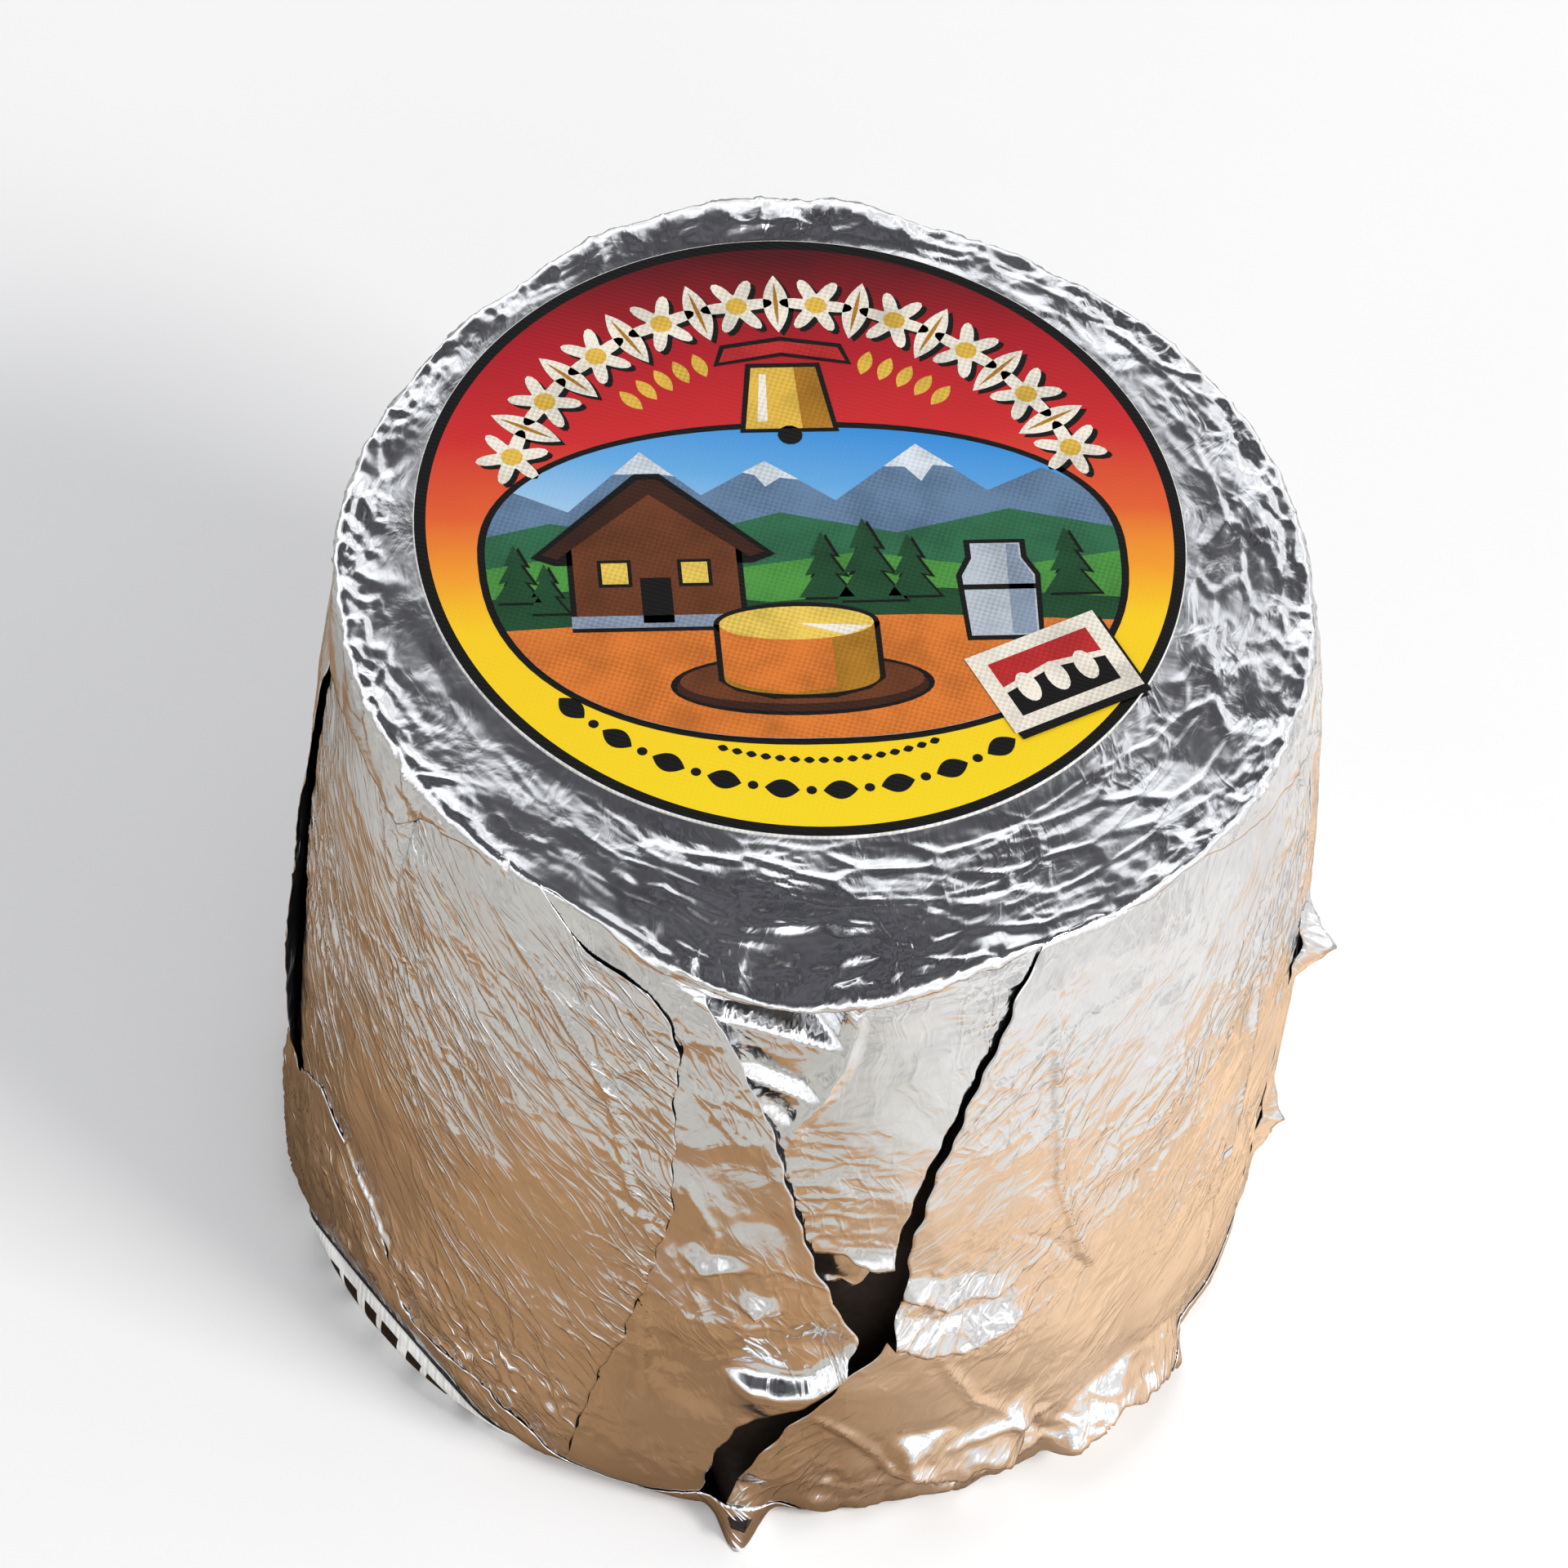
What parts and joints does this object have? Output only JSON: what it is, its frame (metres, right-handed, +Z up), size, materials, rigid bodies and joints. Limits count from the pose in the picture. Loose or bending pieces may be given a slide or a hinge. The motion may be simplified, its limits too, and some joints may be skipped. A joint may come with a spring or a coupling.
{
  "type": "foil-wrapped cheese wheel",
  "caption": "Small drum-shaped cheese wheel wrapped in folded aluminium foil, with a round printed paper label on top and a smaller one under its base.",
  "frame": {"origin": "on the wheel's axis, on the flat it stands on", "axes": "+Z up along the wheel's axis; -Y towards the front, where the foil sheets part; +X to the viewer's right"},
  "size_m": [0.1099, 0.1097, 0.0957],
  "materials": {
    "foil": "crumpled bright foil",
    "printed_paper": "linen embossed, printed",
    "plain_paper": "coated, printed in black"
  },
  "bodies": {
    "root": {"foil_wheel": "foil", "top_label": "printed_paper", "base_label": "plain_paper"}
  },
  "joints": []
}
